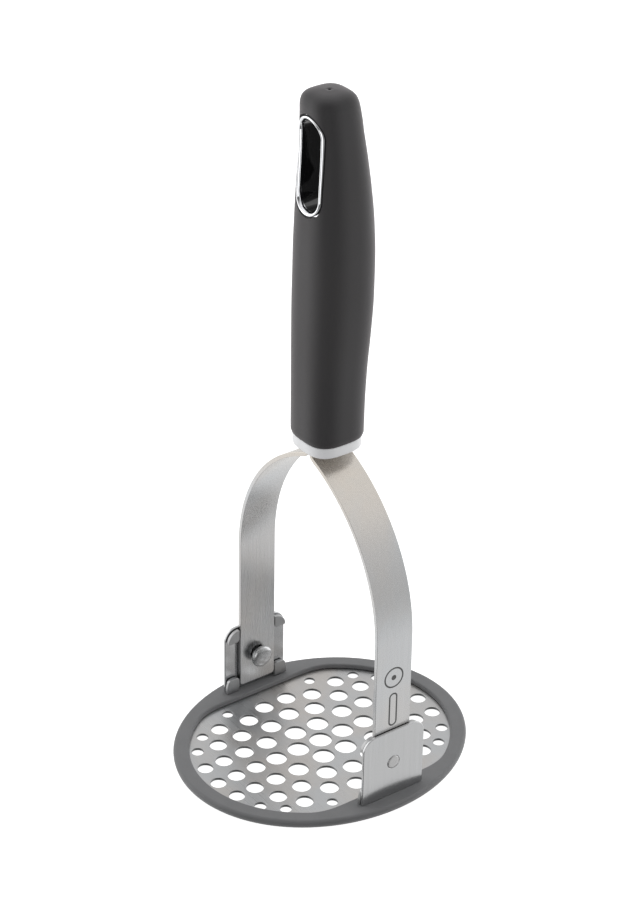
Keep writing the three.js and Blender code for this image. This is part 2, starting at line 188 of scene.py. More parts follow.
def skin(name, rings, loop=False):
    """A closed surface through equal rings of points: capped at both ends, or joined end to end."""
    count = len(rings[0])
    points = [Vector(p) for ring in rings for p in ring]
    faces = []
    spans = len(rings) if loop else len(rings) - 1
    for i in range(spans):
        a, b = i * count, ((i + 1) % len(rings)) * count
        for j in range(count):
            k = (j + 1) % count
            faces.append((a + j, a + k, b + k, b + j))
    if not loop:
        faces.append(tuple(reversed(range(count))))
        faces.append(tuple(range(len(points) - count, len(points))))
    mesh = bpy.data.meshes.new(name)
    mesh.from_pydata(points, [], faces)
    work = bmesh.new()
    work.from_mesh(mesh)
    bmesh.ops.recalc_face_normals(work, faces=work.faces)
    work.to_mesh(mesh)
    work.free()
    return new_object(name, mesh)


def prism(name, outline, axis, low, high):
    """An outline given thickness along one axis; its two coordinates are the other axes in X, Y, Z order."""
    if axis == "X":
        rings = [[(x, a, b) for a, b in outline] for x in (low, high)]
    elif axis == "Y":
        rings = [[(a, y, b) for a, b in outline] for y in (low, high)]
    else:
        rings = [[(a, b, z) for a, b in outline] for z in (low, high)]
    return skin(name, rings)


def arc(ca, cb, radius, start, end, steps):
    """Points on an arc about (ca, cb) between two angles in degrees."""
    angles = [math.radians(start + (end - start) * i / steps) for i in range(steps + 1)]
    return [(ca + radius * math.cos(t), cb + radius * math.sin(t)) for t in angles]


def applied(piece):
    """The piece with its modifiers baked into its mesh."""
    graph = bpy.context.evaluated_depsgraph_get()
    graph.update()
    mesh = bpy.data.meshes.new_from_object(piece.evaluated_get(graph))
    piece.modifiers.clear()
    piece.data = mesh
    return piece


def flat_plate(name, loops, thick, rounding):
    """A plate lying on the XY plane, centred on it: the first loop is its edge, the others are holes."""
    curve = bpy.data.curves.new(name, "CURVE")
    curve.dimensions = "2D"
    curve.fill_mode = "BOTH"
    curve.extrude = thick / 2 - rounding
    curve.bevel_depth = rounding
    curve.bevel_resolution = 3
    curve.offset = -rounding
    for loop in loops:
        spline = curve.splines.new("POLY")
        spline.points.add(len(loop) - 1)
        for point, (x, y) in zip(spline.points, loop):
            point.co = (x, y, 0, 1)
        spline.use_cyclic_u = True
    drawn = new_object(name, curve)
    graph = bpy.context.evaluated_depsgraph_get()
    graph.update()
    mesh = bpy.data.meshes.new_from_object(drawn.evaluated_get(graph))
    bpy.data.objects.remove(drawn)
    work = bmesh.new()
    work.from_mesh(mesh)
    bmesh.ops.remove_doubles(work, verts=work.verts, dist=1e-6)
    bmesh.ops.recalc_face_normals(work, faces=work.faces)
    work.to_mesh(mesh)
    work.free()
    return new_object(name, mesh)


def bent(piece, path):
    """Bends a flat plate whose length is X along a path of straight runs and arcs in X and Z.

    A run is (length,). An arc is (length, radius), and a positive radius turns towards -X.
    The path starts at path[0], a point, and heads for +Z.
    """
    (x, z), heading, u = path[0], 0.0, 0.0
    spans = []
    for run in path[1:]:
        length, radius = run[0], run[1] if len(run) > 1 else None
        spans.append((u, x, z, heading, length, radius))
        u += length
        if radius is None:
            x += length * math.sin(heading)
            z += length * math.cos(heading)
        else:
            turn = length / radius
            x += radius * (math.cos(heading - turn) - math.cos(heading))
            z += radius * (math.sin(heading) - math.sin(heading - turn))
            heading -= turn

    def at(u):
        start, x, z, heading, _, radius = [s for s in spans if s[0] <= u + 1e-9 or s is spans[0]][-1]
        along = u - start
        if radius is None:
            return x + along * math.sin(heading), z + along * math.cos(heading), heading
        turn = along / radius
        x += radius * (math.cos(heading - turn) - math.cos(heading))
        z += radius * (math.sin(heading) - math.sin(heading - turn))
        return x, z, heading - turn

    work = bmesh.new()
    work.from_mesh(piece.data)
    for start, _, _, _, length, radius in spans:
        turn = 0 if radius is None else abs(length / radius)
        steps = max(1, round(turn / math.radians(3)))
        for i in range(steps + 1):
            place_at = start + length * i / steps
            geometry = work.verts[:] + work.edges[:] + work.faces[:]
            bmesh.ops.bisect_plane(
                work, geom=geometry, dist=1e-7, plane_co=(place_at, 0, 0), plane_no=(1, 0, 0)
            )
    for vertex in work.verts:
        x, z, heading = at(vertex.co.x)
        out = vertex.co.z
        vertex.co = (x + out * math.cos(heading), vertex.co.y, z - out * math.sin(heading))
    bmesh.ops.recalc_face_normals(work, faces=work.faces)
    work.to_mesh(piece.data)
    work.free()
    return piece


def cut(piece, tool):
    """Takes the tool's volume out of the piece, and removes the tool."""
    modifier = piece.modifiers.new("cut", "BOOLEAN")
    modifier.operation = "DIFFERENCE"
    modifier.solver = "EXACT"
    modifier.object = tool
    applied(piece)
    bpy.data.objects.remove(tool)
    return piece


def bevel(piece, width, segments, angle):
    """Rounds every edge sharper than the angle in degrees."""
    modifier = piece.modifiers.new("bevel", "BEVEL")
    modifier.width = width
    modifier.segments = segments
    modifier.limit_method = "ANGLE"
    modifier.angle_limit = math.radians(angle)
    modifier.use_clamp_overlap = True
    return applied(piece)


def mirrored(piece, axis):
    """The piece turned into its mirror image across the plane through the origin."""
    piece.data.transform(Matrix.Scale(-1, 4, axis))
    piece.data.flip_normals()
    return piece


def on_side(piece, side):
    """Pieces are built on the right, and mirrored for the left."""
    return mirrored(piece, Vector((1, 0, 0))) if side == "left" else piece


def even_shading(piece):
    """Normals weighted by face area, so that a flat face stays flat up to its rounded edge."""
    modifier = piece.modifiers.new("normals", "WEIGHTED_NORMAL")
    modifier.keep_sharp = True
    modifier.weight = 50
    return applied(piece)


def place(piece, body, material, slot, *nodes):
    """The piece rides on its body, takes the place of its CAD nodes and gets its material."""
    even_shading(piece)
    piece.data.materials.clear()
    piece.data.materials.append(material)
    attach(piece, body)
    if nodes:
        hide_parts(*nodes)
    return piece


# ---------- materials ----------
NOISE_ROUGHNESS = 0.55
# Painted warm reflection: above a given height the strips are tinted this faint straw colour, fading in over
# the span below.
PAINTED_WARM_REFLECTION = (1.05, 0.99, 0.91)
PAINTED_REFLECTION_FADE = 20 * MM


class Nodes:
    """A node material under construction."""

    def __init__(self, name, **sockets):
        self.material = bpy.data.materials.new(name)
        self.material.use_nodes = True
        self.tree = self.material.node_tree
        self.shader = self.tree.nodes["Principled BSDF"]
        for socket, value in sockets.items():
            self.shader.inputs[socket.replace("_", " ")].default_value = value
        self.coordinates = self.tree.nodes.new("ShaderNodeTexCoord").outputs["Object"]

    def noise(self, stretch, detail, distortion=0.0):
        """Noise in metres: stretch gives how many features fit in a metre along X, Y and Z."""
        mapping = self.tree.nodes.new("ShaderNodeMapping")
        mapping.inputs["Scale"].default_value = stretch
        self.tree.links.new(self.coordinates, mapping.inputs["Vector"])
        node = self.tree.nodes.new("ShaderNodeTexNoise")
        node.inputs["Scale"].default_value = 1.0
        node.inputs["Detail"].default_value = detail
        node.inputs["Roughness"].default_value = NOISE_ROUGHNESS
        node.inputs["Distortion"].default_value = distortion
        self.tree.links.new(mapping.outputs["Vector"], node.inputs["Vector"])
        return node.outputs["Fac"]

    def ramp(self, source, stops):
        """Turns a value into a colour: stops are (value, colour)."""
        node = self.tree.nodes.new("ShaderNodeValToRGB")
        elements = node.color_ramp.elements
        while len(elements) < len(stops):
            elements.new(0.5)
        for element, (position, colour) in zip(elements, stops):
            element.position = position
            element.color = (*colour, 1)
        self.tree.links.new(source, node.inputs["Fac"])
        return node.outputs["Color"]

    def spread(self, source, low, high, source_low=0.3, source_high=0.7):
        """Maps the source's range to the range from low to high."""
        node = self.tree.nodes.new("ShaderNodeMapRange")
        node.inputs["From Min"].default_value = source_low
        node.inputs["From Max"].default_value = source_high
        node.inputs["To Min"].default_value = low
        node.inputs["To Max"].default_value = high
        self.tree.links.new(source, node.inputs["Value"])
        return node.outputs["Result"]

    def blend(self, a, b, factor, mode="MIX"):
        """Mixes two colours, each a tuple or another node's output."""
        node = self.tree.nodes.new("ShaderNodeMix")
        node.data_type = "RGBA"
        node.blend_type = mode
        for socket, value in (("A", a), ("B", b)):
            target = [i for i in node.inputs if i.name == socket and i.type == "RGBA"][0]
            if isinstance(value, tuple):
                target.default_value = (*value, 1)
            else:
                self.tree.links.new(value, target)
        target = [i for i in node.inputs if i.name == "Factor" and i.type == "VALUE"][0]
        if isinstance(factor, (int, float)):
            target.default_value = factor
        else:
            self.tree.links.new(factor, target)
        return [o for o in node.outputs if o.type == "RGBA"][0]

    def bump(self, height, distance, strength, under=None):
        """A bump of a depth in metres, laid over another normal where one is given."""
        node = self.tree.nodes.new("ShaderNodeBump")
        node.inputs["Strength"].default_value = strength
        node.inputs["Distance"].default_value = distance
        self.tree.links.new(height, node.inputs["Height"])
        if under is not None:
            self.tree.links.new(under, node.inputs["Normal"])
        return node.outputs["Normal"]

    def height(self, low, high):
        """Rises from 0 to 1 between two heights of the object, in metres."""
        node = self.tree.nodes.new("ShaderNodeSeparateXYZ")
        self.tree.links.new(self.coordinates, node.inputs["Vector"])
        return self.spread(node.outputs["Z"], 0.0, 1.0, low, high)

    def feed(self, **sockets):
        """Links outputs to the shader's inputs and gives the finished material."""
        for socket, source in sockets.items():
            self.tree.links.new(source, self.shader.inputs[socket.replace("_", " ")])
        return self.material


def steel(name, tone, along, roughness, streak=0.5, warm=0.5, painted_reflection_height=None):
    """Stainless steel brushed along one axis, with cloudy tint and fine scratches.

    Above the given height it takes a painted warm reflection, a faint straw colour that fades in over 20 mm.
    """
    nodes = Nodes(name, Metallic=1.0)
    fine, coarse, long = 5200, 900, 45
    stretch = {axis: (fine if axis != along else long) for axis in "XYZ"}
    wide = {axis: (coarse if axis != along else long / 2) for axis in "XYZ"}
    grain = nodes.noise((stretch["X"], stretch["Y"], stretch["Z"]), detail=2)
    bands = nodes.noise((wide["X"], wide["Y"], wide["Z"]), detail=3)
    cloud = nodes.noise((38, 38, 26), detail=3, distortion=0.6)
    cool = tuple(tone * c for c in (0.985, 1.0, 1.015))
    warmed = tuple(tone * c for c in (1.03, 0.985, 0.945))
    tint = nodes.ramp(cloud, [(0.38, cool), (0.62, warmed)])
    base = nodes.blend(cool, tint, warm)
    shade = nodes.ramp(bands, [(0.3, (0.86, 0.86, 0.86)), (0.7, (1, 1, 1))])
    base = nodes.blend(base, shade, streak, "MULTIPLY")
    # painted warm reflection on the upper part, laid on by height
    if painted_reflection_height is not None:
        reflection_tint = nodes.blend((1, 1, 1), PAINTED_WARM_REFLECTION, nodes.height(painted_reflection_height, painted_reflection_height + PAINTED_REFLECTION_FADE))
        base = nodes.blend(base, reflection_tint, 1.0, "MULTIPLY")
    rough = nodes.spread(grain, roughness * 0.78, roughness * 1.22)
    normal = nodes.bump(grain, 0.006 * MM, 0.5)
    normal = nodes.bump(bands, 0.012 * MM, 0.35, normal)
    return nodes.feed(Base_Color=base, Roughness=rough, Normal=normal)


def soft_touch():
    """Charcoal soft-touch coating: fine matt grain, a little sheen, faint handling marks."""
    nodes = Nodes("soft_touch_grip", Roughness=0.6, Specular_IOR_Level=0.36)
    nodes.shader.inputs["Sheen Weight"].default_value = 0.42
    nodes.shader.inputs["Sheen Roughness"].default_value = 0.45
    nodes.shader.inputs["Sheen Tint"].default_value = (0.95, 0.9, 0.92, 1)
    cloud = nodes.noise((70, 70, 30), detail=4)
    marks = nodes.noise((900, 900, 60), detail=2)
    grain = nodes.noise((9000, 9000, 9000), detail=2)
    base = nodes.ramp(cloud, [(0.3, (0.031, 0.030, 0.032)), (0.7, (0.040, 0.038, 0.039))])
    scuffs = nodes.ramp(marks, [(0.66, (1, 1, 1)), (0.8, (1.22, 1.2, 1.2))])
    base = nodes.blend(base, scuffs, 0.6, "MULTIPLY")
    rough = nodes.spread(cloud, 0.52, 0.66)
    normal = nodes.bump(grain, 0.02 * MM, 0.5)
    return nodes.feed(Base_Color=base, Roughness=rough, Normal=normal)


def grey_silicone():
    """Matt grey silicone with fine dust in its surface."""
    nodes = Nodes("grey_silicone", Roughness=0.55, Specular_IOR_Level=0.4)
    nodes.shader.inputs["Sheen Weight"].default_value = 0.2
    nodes.shader.inputs["Sheen Roughness"].default_value = 0.5
    nodes.shader.inputs["Subsurface Weight"].default_value = 0.04
    nodes.shader.inputs["Subsurface Radius"].default_value = (0.001, 0.001, 0.001)
    cloud = nodes.noise((90, 90, 90), detail=3)
    dust = nodes.noise((2600, 2600, 2600), detail=2)
    base = nodes.ramp(cloud, [(0.3, (0.135, 0.137, 0.141)), (0.7, (0.162, 0.163, 0.167))])
    specks = nodes.ramp(dust, [(0.64, (1, 1, 1)), (0.8, (1.45, 1.45, 1.45))])
    base = nodes.blend(base, specks, 0.5, "MULTIPLY")
    rough = nodes.spread(cloud, 0.48, 0.62)
    normal = nodes.bump(dust, 0.03 * MM, 0.35)
    return nodes.feed(Base_Color=base, Roughness=rough, Normal=normal)


def pale_collar():
    """Off-white moulded plastic, half gloss."""
    nodes = Nodes("pale_collar", Roughness=0.34, Specular_IOR_Level=0.6)
    cloud = nodes.noise((120, 120, 120), detail=3)
    flake = nodes.noise((7000, 7000, 7000), detail=1)
    base = nodes.ramp(cloud, [(0.3, (0.90, 0.905, 0.92)), (0.7, (0.95, 0.955, 0.97))])
    rough = nodes.spread(flake, 0.28, 0.42)
    normal = nodes.bump(flake, 0.01 * MM, 0.3)
    return nodes.feed(Base_Color=base, Roughness=rough, Normal=normal)


def bright_chrome():
    """Chrome plate with faint smears."""
    nodes = Nodes("bright_chrome", Metallic=1.0)
    smear = nodes.noise((260, 260, 90), detail=3)
    base = nodes.ramp(smear, [(0.3, (0.86, 0.87, 0.89)), (0.7, (0.93, 0.935, 0.95))])
    rough = nodes.spread(smear, 0.035, 0.09)
    return nodes.feed(Base_Color=base, Roughness=rough)


def gloss_black():
    """Black plastic with a hard gloss."""
    nodes = Nodes("gloss_black", Specular_IOR_Level=0.9)
    smear = nodes.noise((300, 300, 120), detail=3)
    base = nodes.ramp(smear, [(0.3, (0.006, 0.006, 0.007)), (0.7, (0.010, 0.010, 0.011))])
    rough = nodes.spread(smear, 0.05, 0.12)
    normal = nodes.bump(smear, 0.02 * MM, 0.2)
    return nodes.feed(Base_Color=base, Roughness=rough, Normal=normal)


def core_plastic():
    """Dark grained plastic inside the grip."""
    nodes = Nodes("core_plastic")
    grain = nodes.noise((1500, 1500, 1500), detail=3)
    base = nodes.ramp(grain, [(0.3, (0.02, 0.02, 0.022)), (0.7, (0.03, 0.03, 0.033))])
    rough = nodes.spread(grain, 0.4, 0.55)
    normal = nodes.bump(grain, 0.02 * MM, 0.4)
    return nodes.feed(Base_Color=base, Roughness=rough, Normal=normal)


def etched_steel():
    """Dull dark lines etched into a strip."""
    nodes = Nodes("etched_steel", Metallic=0.6)
    grain = nodes.noise((3000, 3000, 3000), detail=2)
    base = nodes.ramp(grain, [(0.3, (0.10, 0.10, 0.10)), (0.7, (0.16, 0.16, 0.16))])
    rough = nodes.spread(grain, 0.5, 0.7)
    return nodes.feed(Base_Color=base, Roughness=rough)


SHEET_STEEL = steel("satin_sheet_steel", 0.50, "X", 0.34, streak=0.2, warm=0.9)
# the strips take the painted warm reflection above 98 mm
STRIP_STEEL = steel("brushed_strip_steel", 0.61, "Z", 0.27, streak=0.3, warm=0.6, painted_reflection_height=98 * MM)
BRACKET_STEEL = steel("polished_bracket_steel", 0.56, "Z", 0.22, streak=0.3, warm=0.15)
# Guides: rougher than the bracket, and a darker tone that is painted shade for pads tucked between bracket and
# strip.
GUIDE_SHADED_STEEL = steel("dull_guide_steel_painted_shade", 0.44, "Z", 0.40, streak=0.45, warm=0.25)
PIN_STEEL = steel("turned_pin_steel", 0.5, "X", 0.24, streak=0.3, warm=0.3)
# Hole walls: rougher, and darkened as painted shade.
HOLE_WALL_SHADE_STEEL = steel("hole_wall_painted_shade_steel", 0.22, "Z", 0.45, streak=0.5, warm=0.1)
SOFT_TOUCH = soft_touch()
SILICONE = grey_silicone()
COLLAR_FINISH = pale_collar()
CHROME = bright_chrome()
GLOSS_BLACK = gloss_black()
CORE_PLASTIC = core_plastic()
ETCHING = etched_steel()


# ---------- head ----------
def opening_point(angle, grow):
    """The rim's inner edge: an oval whose two sides are flattened beside the brackets."""
    flat = OPENING_HALF_X + grow
    x = (OPENING_OVAL_X + grow) * math.cos(angle)
    y = (OPENING_OVAL_Y + grow) * math.sin(angle)
    near = max(OPENING_SOFTEN - abs(abs(x) - flat), 0) / OPENING_SOFTEN
    limited = min(abs(x), flat) - near * near * OPENING_SOFTEN / 4
    return math.copysign(limited, x), y


def rim_section():
    """The rim's section as (line, distance, height), from its foot over the outer edge to the opening.

    "outer" counts inwards from the rim's own oval, and "inner" outwards from the opening.
    """
    points = []
    for degrees in range(-90, 91, 10):
        angle = math.radians(degrees)
        radius = RIM_BOTTOM_RADIUS if degrees < 0 else RIM_TOP_RADIUS
        inset = radius * (1 - math.cos(angle))
        points.append(("outer", inset, RIM_BOTTOM_RADIUS + radius * math.sin(angle)))
    points += [("inner", out * MM, RIM_HIGH.z - deep * MM) for out, deep in RIM_LIP]
    groove = RIM_HIGH.x - SHEET_HIGH.x - RIM_GROOVE_GAP
    roof, floor = SHEET_HIGH.z + RIM_GROOVE_GAP, SHEET_LOW.z - RIM_GROOVE_GAP
    points += [
        ("inner", 0, SHEET_HIGH.z + 0.5 * MM),
        ("inner", 0, roof),
        ("outer", groove, roof),
        ("outer", groove, floor),
        ("inner", 0, floor),
        ("inner", 0.05 * MM, 0.5 * MM),
        ("inner", 0.6 * MM, 0),
    ]
    return points


def rim_piece():
    """A silicone ring round the sheet: crisp inner lip, soft crown, and an outer edge that rolls under."""
    steps = 240
    section = rim_section()
    rings = []
    for i in range(steps):
        angle = 2 * math.pi * i / steps
        ring = []
        for line, distance, z in section:
            if line == "inner":
                x, y = opening_point(angle, distance)
            else:
                x = (RIM_HIGH.x - distance) * math.cos(angle)
                y = (RIM_HIGH.y - distance) * math.sin(angle)
            ring.append((x, y, z))
        rings.append(ring)
    made = skin("rim", rings, loop=True)
    slot_low, slot_high = BRACKET_LOW.x - RIM_SLOT_GAP, BRACKET_HIGH.x + RIM_SLOT_GAP
    reach, low, high = NECK_HALF_WIDTH + RIM_SLOT_GAP, SHEET_HIGH.z, 2 * RIM_HIGH.z
    outline = [(-reach, low), (reach, low), (reach, high), (-reach, high)]
    for side in SIDES:
        slot = on_side(prism("neck_slot", outline, "X", slot_low, slot_high), side)
        cut(made, slot)
    return smooth(made, 50)


def hole_list():
    """Centre and radius of every hole in the sheet."""
    holes = []

    def add(radius, degrees, diameter):
        angle = math.radians(degrees)
        centre = (radius * math.sin(angle) * MM, radius * math.cos(angle) * MM)
        holes.append((*centre, diameter / 2 * MM))

    for radius, count, diameter in HOLE_RINGS:
        for i in range(count):
            add(radius, 360 * i / count, diameter)
    ring = OUTER_RING
    for end in (0, 180):
        for angle in range(-ring["reach"], ring["reach"] + 1, ring["step"]):
            small = abs(angle) == ring["reach"]
            diameter = ring["end_diameter"] if small else ring["diameter"]
            add(ring["radius"], end + angle, diameter)
        towards = 1 if end == 0 else -1
        for across, along, diameter in EDGE_HOLES:
            for x in {across, -across}:
                holes.append((x * MM, towards * along * MM, diameter / 2 * MM))
    return holes


def sheet_piece():
    """The perforated sheet, with every edge slightly rounded."""
    turns = [2 * math.pi * i / 200 for i in range(200)]
    loops = [[(SHEET_HIGH.x * math.cos(t), SHEET_HIGH.y * math.sin(t)) for t in turns]]
    for x, y, radius in hole_list():
        loops.append(arc(x, y, radius, 0, 360, 48)[:-1])
    made = flat_plate("perforated_sheet", loops, SHEET_HIGH.z - SHEET_LOW.z, SHEET_EDGE)
    made.data.transform(Matrix.Translation((0, 0, (SHEET_HIGH.z + SHEET_LOW.z) / 2)))
    return smooth(made, 40)


def paint_shade_on_hole_walls(sheet):
    """The hole walls take a duller steel whose darker tone is painted shade, standing in for the dark ground
    under the sheet.
    """
    sheet.data.materials.append(HOLE_WALL_SHADE_STEEL)
    for polygon in sheet.data.polygons:
        # upright faces are the hole walls, which get the painted shade
        if abs(polygon.normal.z) < 0.4:
            polygon.material_index = 1


# ---------- brackets, guides and pins, built on the right ----------
def bracket_piece():
    """One strip of sheet: a neck that stands in the rim and a wall with round shoulders."""
    wall_x = BRACKET_HIGH.x - WALL_THICK / 2
    y, r, soft = BRACKET_HIGH.y, BRACKET_CORNER, BRACKET_FILLET
    widen = RIM_HIGH.z + BRACKET_ABOVE_RIM - BRACKET_LOW.z
    top = BRACKET_HIGH.z - BRACKET_LOW.z
    edge = [
        (0, -NECK_HALF_WIDTH),
        (widen, -NECK_HALF_WIDTH),
        *arc(widen + soft, -y + soft, soft, 180, 270, 5),
        *arc(top - r, -y + r, r, 270, 360, 16),
        *arc(top - r, y - r, r, 0, 90, 16),
        *arc(widen + soft, y - soft, soft, 90, 180, 5),
        (widen, NECK_HALF_WIDTH),
        (0, NECK_HALF_WIDTH),
    ]
    pivot = PIVOT_Z - BRACKET_LOW.z
    hole = arc(pivot, 0, PIN_RADIUS + PIN_HOLE_GAP, 0, 360, 48)[:-1]
    made = flat_plate("bracket", [edge, hole], WALL_THICK, BRACKET_EDGE)
    return smooth(bent(made, [(wall_x, BRACKET_LOW.z), (top,)]), 40)


def guide_cap_piece():
    """Upper guide inside a bracket, with one round shoulder."""
    low, high, far = CAP_LOW.z, CAP_HIGH.z, CAP_HIGH.y
    near, r, chamfer = CAP_LOW.y, GUIDE_CORNER, GUIDE_CHAMFER
    outline = [
        (near + chamfer, low),
        (far, low),
        *arc(far - r, high - r, r, 0, 90, 14),
        (near, high),
        (near, low + chamfer),
    ]
    made = prism("guide_cap", outline, "X", CAP_LOW.x, CAP_HIGH.x)
    return smooth(bevel(made, GUIDE_EDGE, 4, 30))


def guide_foot_piece():
    """Lower guide inside a bracket, tapering a little towards its top."""
    low, high = FOOT_LOW.z, FOOT_HIGH.z
    near, far, chamfer = FOOT_LOW.y, FOOT_HIGH.y, GUIDE_CHAMFER
    outline = [
        (near, low),
        (far, low),
        (far - 0.1 * MM, low + 2 * MM),
        (far - 0.7 * MM, high - 0.8 * MM),
        (far - 1.5 * MM, high),
        (near + chamfer, high),
        (near, high - chamfer),
    ]
    made = prism("guide_foot", outline, "X", FOOT_LOW.x, FOOT_HIGH.x)
    return smooth(bevel(made, GUIDE_EDGE, 4, 20))


def lathe_along_x(name, profile):
    """Turns (distance from the pin's axis, X) points about the pivot line."""
    segments = 64
    turns = [2 * math.pi * i / segments for i in range(segments)]
    rings = []
    for radius, x in profile:
        rings.append([(x, radius * math.cos(t), PIVOT_Z + radius * math.sin(t)) for t in turns])
    return skin(name, rings)


def pin_piece():
    """Domed head inside the strip, straight shank, and an end that just stands out of the bracket."""
    face, tip = PIN_LOW.x, BRACKET_HIGH.x + PIN_PROUD
    under = face + PIN_HEAD_HEIGHT
    r = PIN_HIGH.y
    dome = [
        (r * math.sin(t), face + PIN_DOME * (1 - math.cos(t)) ** 1.15)
        for t in [math.radians(a) for a in (2, 12, 24, 36, 48, 60, 70, 78, 84, 90)]
    ]
    profile = [
        *dome,
        (r, under - 0.35 * MM),
        (r - 0.1 * MM, under - 0.12 * MM),
        (r - 0.35 * MM, under),
        (PIN_RADIUS, under),
        (PIN_RADIUS, tip - 0.3 * MM),
        (PIN_RADIUS - 0.05 * MM, tip - 0.18 * MM),
        (PIN_RADIUS - 0.18 * MM, tip - 0.08 * MM),
        (PIN_RADIUS - 0.45 * MM, tip - 0.02 * MM),
        (PIN_RADIUS - 0.9 * MM, tip),
        (0.02 * MM, tip),
    ]
    return smooth(lathe_along_x("pivot_pin", profile), 40)


# ---------- legs, built on the right ----------
def leg_piece():
    """A spring strip: straight beside the bracket, one long bend inwards, then the tang in the handle."""
    reach = BEND_RADIUS + TANG_BEND_RADIUS
    turn_x = TANG_MID_X + TANG_BEND_RADIUS
    bend_x = STRIP_MID_X - BEND_RADIUS
    turn_z = BEND_CENTRE_Z + math.sqrt(reach**2 - (turn_x - bend_x) ** 2)
    meet = math.atan2(turn_z - BEND_CENTRE_Z, turn_x - bend_x)
    low_run = BEND_CENTRE_Z - LEG_LOW.z
    bend_run = BEND_RADIUS * meet
    turn_run = TANG_BEND_RADIUS * meet
    path = [
        (STRIP_MID_X, LEG_LOW.z),
        (low_run,),
        (bend_run, BEND_RADIUS),
        (turn_run, -TANG_BEND_RADIUS),
        (LEG_HIGH.z - turn_z,),
    ]
    shoulder = low_run + bend_run + turn_run + TANG_SHOULDER - turn_z
    end = low_run + bend_run + turn_run + LEG_HIGH.z - turn_z
    y, r, tang = LEG_HIGH.y, STRIP_CORNER, TANG_WIDTH / 2
    edge = [
        *arc(r, -y + r, r, 180, 270, 8),
        (shoulder, -y),
        (shoulder + MM, -tang),
        (end, -tang),
        (end, tang),
        (shoulder + MM, tang),
        (shoulder, y),
        *arc(r, y - r, r, 90, 180, 8),
    ]
    pivot = PIVOT_Z - LEG_LOW.z
    r = PIN_RADIUS + GAP
    slot = arc(pivot, 0, r, 90, 270, 24) + arc(pivot + SQUEEZE_DROP, 0, r, -90, 90, 24)
    made = flat_plate("strip_leg", [edge, slot], STRIP_THICK, STRIP_EDGE)
    return smooth(bent(made, path), 40)


def etched_line(name, x, inner, outer):
    """A closed line between two outlines with as many points each, on the strip's outer face at x."""
    film = x + ETCH_FILM
    rings = []
    for (ya, za), (yb, zb) in zip(inner, outer):
        rings.append([(x, ya, za), (x, yb, zb), (film, yb, zb), (film, ya, za)])
    return skin(name, rings, loop=True)


def etched_marks():
    """A plain mark on the right leg's outer face: a ring, a dot and an upright pill."""
    x = STRIP_MID_X + STRIP_THICK / 2

    def circle(radius):
        return arc(0, ETCH_RING_Z, radius, 0, 360, 64)[:-1]

    def pill(radius):
        upper = arc(0, ETCH_PILL_Z + ETCH_PILL_HALF, radius, 0, 180, 24)
        return upper + arc(0, ETCH_PILL_Z - ETCH_PILL_HALF, radius, 180, 360, 24)

    dot = arc(0, ETCH_RING_Z, 1.0 * MM, 0, 360, 32)[:-1]
    return [
        etched_line("press_mark_ring", x, circle(3.5 * MM), circle(4.1 * MM)),
        etched_line("press_mark_pill", x, pill(1.2 * MM), pill(1.8 * MM)),
        prism("press_mark_dot", dot, "X", x, x + ETCH_FILM),
    ]


# ---------- handle ----------
def column_slope(rows, k, column):
    """Slope of a listed column at row k: the harmonic mean of its two sides, and 0 where they turn back."""
    slopes = [
        (rows[b][column] - rows[a][column]) / (rows[b][0] - rows[a][0])
        for a, b in ((k - 1, k), (k, k + 1))
        if a >= 0 and b < len(rows)
    ]
    if len(slopes) == 1:
        return slopes[0]
    below, above = slopes
    return 2 * below * above / (below + above) if below * above > 0 else 0


def grip_section(z):
    """Half of the side and offset of the handle's section at a height, smoothly between the listed ones."""
    rows = [(a * MM, b * MM, c * MM) for a, b, c in GRIP_SECTIONS]
    z = min(max(z, rows[0][0]), rows[-1][0])
    i = max(k for k in range(len(rows) - 1) if rows[k][0] <= z)
    span = rows[i + 1][0] - rows[i][0]
    t = (z - rows[i][0]) / span

    def value(column):
        return (
            (2 * t**3 - 3 * t**2 + 1) * rows[i][column]
            + (t**3 - 2 * t**2 + t) * column_slope(rows, i, column) * span
            + (-2 * t**3 + 3 * t**2) * rows[i + 1][column]
            + (t**3 - t**2) * column_slope(rows, i + 1, column) * span
        )

    return value(1), value(2)


def square_ring(half, shift, z, segments=128):
    """Points round a rounded square of the handle's section at a height."""
    points = []
    for i in range(segments):
        angle = 2 * math.pi * i / segments
        c, s = math.cos(angle), math.sin(angle)
        x = half * math.copysign(abs(c) ** (2 / GRIP_POWER), c)
        y = half * math.copysign(abs(s) ** (2 / GRIP_POWER), s)
        points.append((x, shift + y, z))
    return points


def grip_surface_y(x, z, sign):
    """Where the grip's front (-1) or back (+1) face is at a point of the XZ plane."""
    half, shift = grip_section(z)
    share = min(abs(x) / half, 0.999)
    return shift + sign * half * (1 - share**GRIP_POWER) ** (1 / GRIP_POWER)


HANG_CENTRE_Z = (LINER_LOW.z + LINER_HIGH.z) / 2
HANG_RADIUS = LINER_HIGH.x
HANG_STRAIGHT = (LINER_HIGH.z - LINER_LOW.z) / 2 - HANG_RADIUS


def hang_line(radius):
    """Points round an upright slot with round ends, in X and Z."""
    turns, runs = 24, 16
    top, low = HANG_CENTRE_Z + HANG_STRAIGHT, HANG_CENTRE_Z - HANG_STRAIGHT
    steps = [low + (top - low) * i / runs for i in range(1, runs)]
    return [
        *arc(0, top, radius, 0, 180, turns),
        *[(-radius, z) for z in reversed(steps)],
        *arc(0, low, radius, 180, 360, turns),
        *[(radius, z) for z in steps],
    ]


